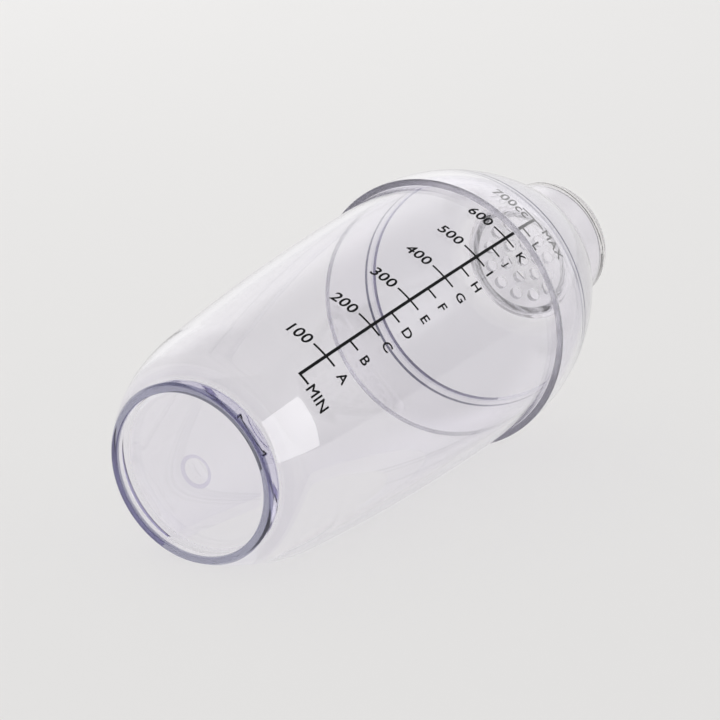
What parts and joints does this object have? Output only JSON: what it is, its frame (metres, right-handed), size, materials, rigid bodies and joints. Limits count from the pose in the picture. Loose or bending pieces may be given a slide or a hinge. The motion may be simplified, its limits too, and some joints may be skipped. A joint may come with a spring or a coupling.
{
  "type": "drink shaker",
  "caption": "Clear plastic shaker bottle: barrel-shaped cup, domed lid with a strainer across its neck, and a small push-on cap.",
  "frame": {"origin": "on the shaker's axis, in the plane that the foot ring stands on", "axes": "+Z along the axis from the base to the cap"},
  "size_m": [0.092, 0.092, 0.22],
  "materials": {
    "cup_clear": "clear polycarbonate with a faint violet tint, moulded gloss",
    "lid_clear": "clear polycarbonate with a faint violet tint, moulded gloss",
    "cap_clear": "clear polycarbonate, very slightly warm, moulded gloss",
    "scale_ink": "black screen-printed ink of the volume scale"
  },
  "bodies": {
    "cup": {"cup": "cup_clear"},
    "lid": {"strainer_lid": "lid_clear"},
    "cap": {"cap": "cap_clear"}
  },
  "joints": [
    {"name": "lid_lift", "type": "slide", "parent": "cup", "child": "lid", "axis": [0, 0, 1], "range_m": [0, 0.05]},
    {"name": "cap_lift", "type": "slide", "parent": "lid", "child": "cap", "axis": [0, 0, 1], "range_m": [0, 0.03]}
  ]
}
